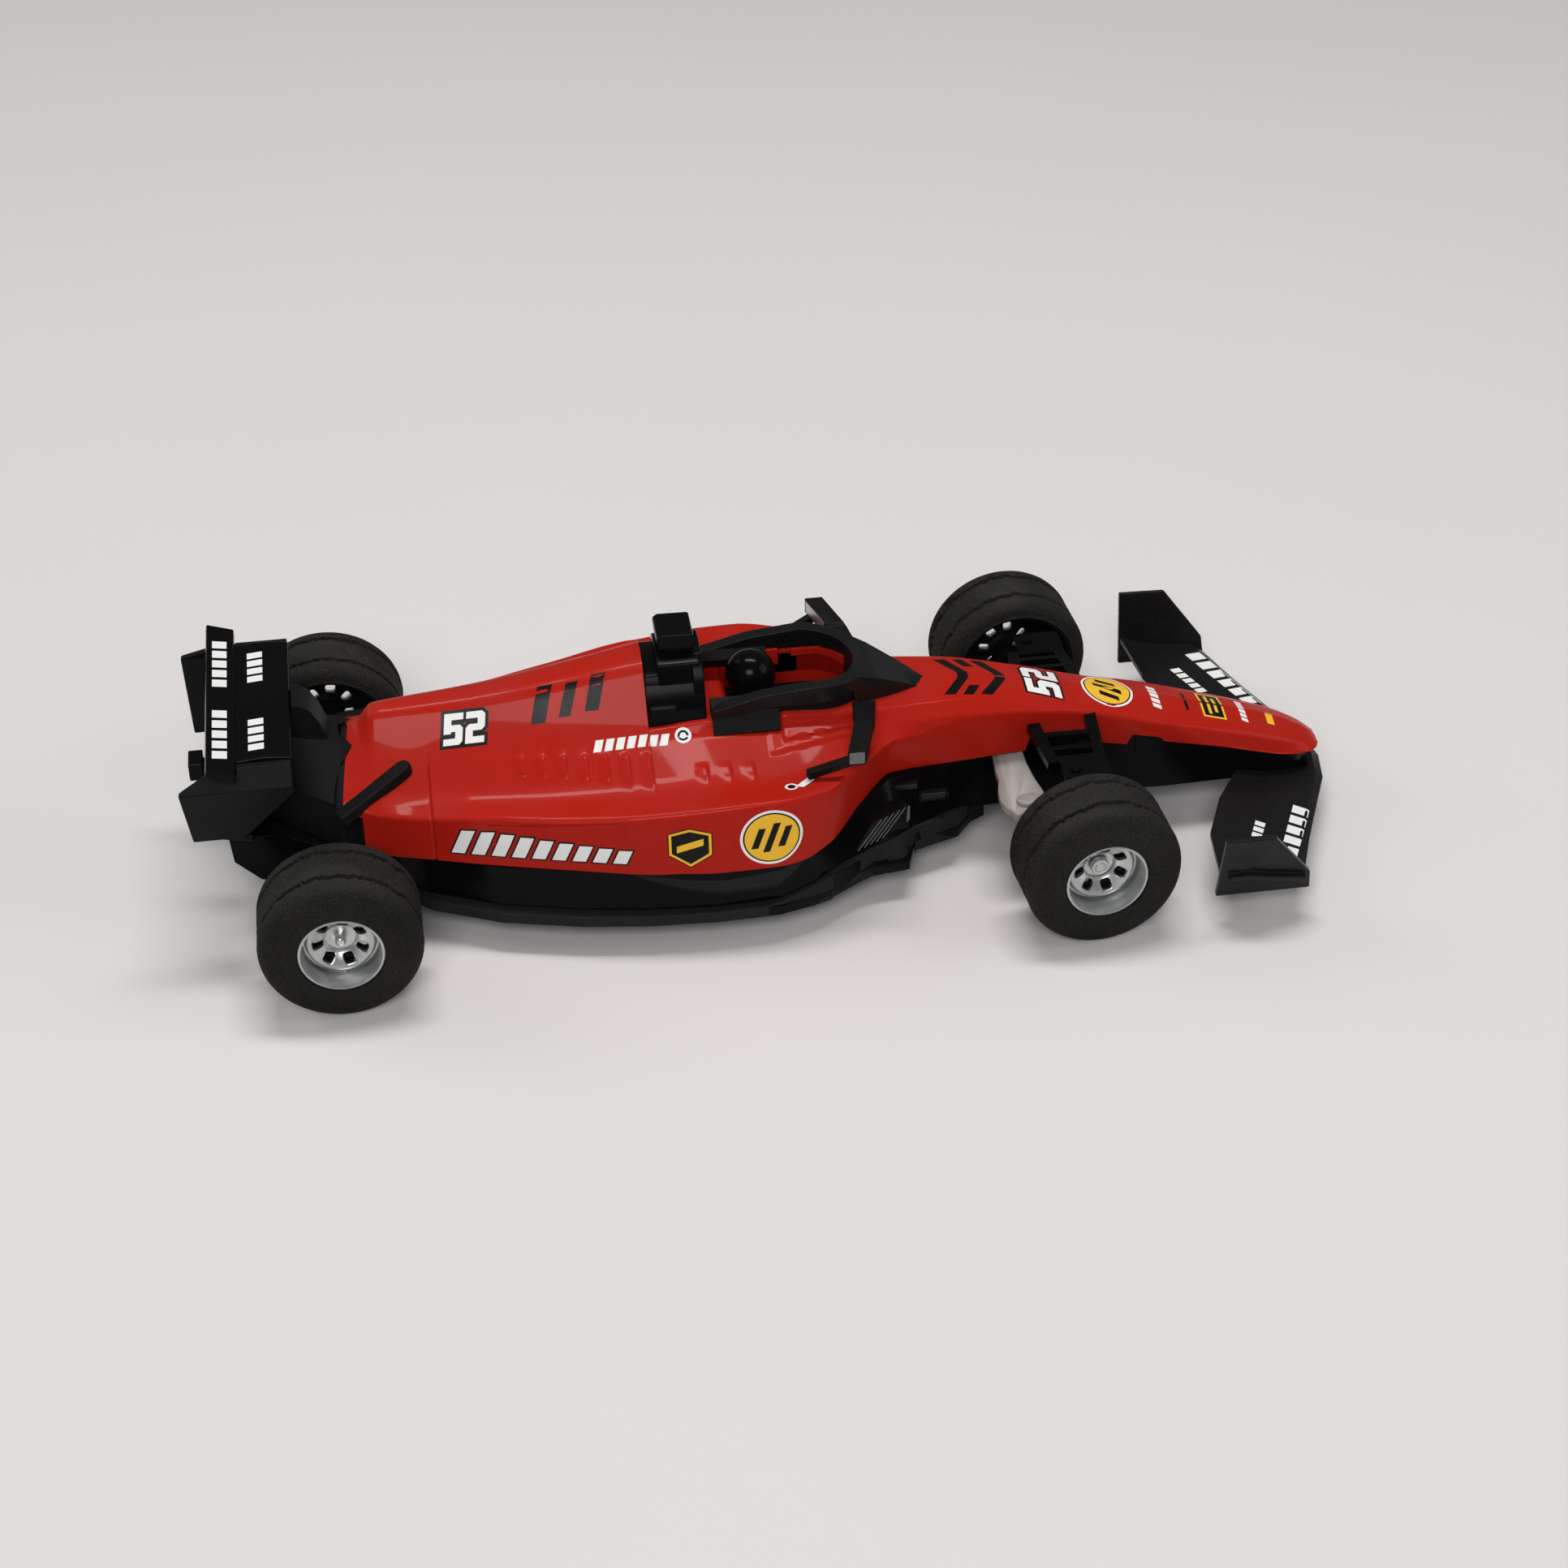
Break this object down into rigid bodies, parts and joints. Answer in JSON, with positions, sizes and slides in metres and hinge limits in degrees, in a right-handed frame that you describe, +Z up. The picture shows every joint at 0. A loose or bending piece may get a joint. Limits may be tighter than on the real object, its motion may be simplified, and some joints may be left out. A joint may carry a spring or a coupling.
{
  "type": "open wheel racing car, die-cast toy",
  "caption": "Small die-cast toy racing car with open wheels, wings, a head guard over the cockpit, rolling wheels and linked steering.",
  "frame": {"origin": "on the ground, at the middle of the car's bounding box in plan", "axes": "+X towards the nose, +Y to the car's left, +Z up"},
  "size_m": [0.1777, 0.0724, 0.0416],
  "materials": {
    "red_paint": "gloss enamel over die-cast metal",
    "black_plastic": "moulded gloss black",
    "black_matte": "moulded black with a fine grain",
    "white_nylon": "translucent natural white",
    "steel": "bright drawn wire",
    "plated_rim": "vacuum plated plastic, satin",
    "tyre_rubber": "matt charcoal, slightly grainy"
  },
  "bodies": {
    "chassis": {"airbox": "black_plastic", "base_pan": "black_plastic", "beam_wing": "black_plastic", "body_shell": "red_paint", "camera_pod": "black_plastic", "cockpit_surround": "black_matte", "driver": "black_plastic", "front_arms_left": "black_plastic", "front_arms_right": "black_plastic", "front_plate_left": "black_plastic", "front_plate_right": "black_plastic", "front_wing": "black_plastic", "gearbox_case": "black_plastic", "gearbox_cover": "black_plastic", "head_guard": "black_plastic", "mirror_left": "black_matte", "mirror_right": "black_matte", "rain_light": "black_plastic", "rear_arm_left": "black_matte", "rear_arm_right": "black_matte", "rear_plate_left": "black_matte", "rear_plate_right": "black_matte", "rear_wing": "black_plastic", "side_vane_left": "black_matte", "side_vane_right": "black_matte"},
    "knuckle_left": {"knuckle_left": "black_plastic", "stub_axle_left": "steel"},
    "front_wheel_left": {"front_rim_left": "plated_rim", "front_tyre_left": "tyre_rubber"},
    "knuckle_right": {"knuckle_right": "black_plastic", "stub_axle_right": "steel"},
    "front_wheel_right": {"front_rim_right": "plated_rim", "front_tyre_right": "tyre_rubber"},
    "steering_link": {"steering_link": "white_nylon"},
    "rear_wheels": {"rear_axle": "steel", "rear_rim_left": "plated_rim", "rear_tyre_left": "tyre_rubber", "rear_rim_right": "plated_rim", "rear_tyre_right": "tyre_rubber"}
  },
  "joints": [
    {"name": "steer_left", "type": "hinge", "parent": "chassis", "child": "knuckle_left", "pos_m": [0.0445, 0.018, 0.0121], "axis": [0, 0, 1], "range_deg": [-20.6, 11.4]},
    {"name": "steer_right", "type": "hinge", "parent": "chassis", "child": "knuckle_right", "pos_m": [0.0445, -0.018, 0.0121], "axis": [0, 0, 1], "range_deg": [-20.6, 11.4]},
    {"name": "link_slide", "type": "slide", "parent": "chassis", "child": "steering_link", "axis": [0, 1, 0], "range_m": [-0.0015, 0.0026]},
    {"name": "front_spin_left", "type": "hinge", "parent": "knuckle_left", "child": "front_wheel_left", "pos_m": [0.0445, 0.018, 0.0121], "axis": [-0.0802, 0.9968, 0], "continuous": true},
    {"name": "front_spin_right", "type": "hinge", "parent": "knuckle_right", "child": "front_wheel_right", "pos_m": [0.0445, -0.018, 0.0121], "axis": [-0.0802, 0.9968, 0], "continuous": true},
    {"name": "rear_spin", "type": "hinge", "parent": "chassis", "child": "rear_wheels", "pos_m": [-0.0675, 0, 0.0121], "axis": [0, 1, 0], "continuous": true}
  ],
  "couplings": [
    {"joint": "steer_right", "follows": "steer_left", "ratio": 1},
    {"joint": "link_slide", "follows": "steer_left", "m_per_rad": -0.007}
  ]
}
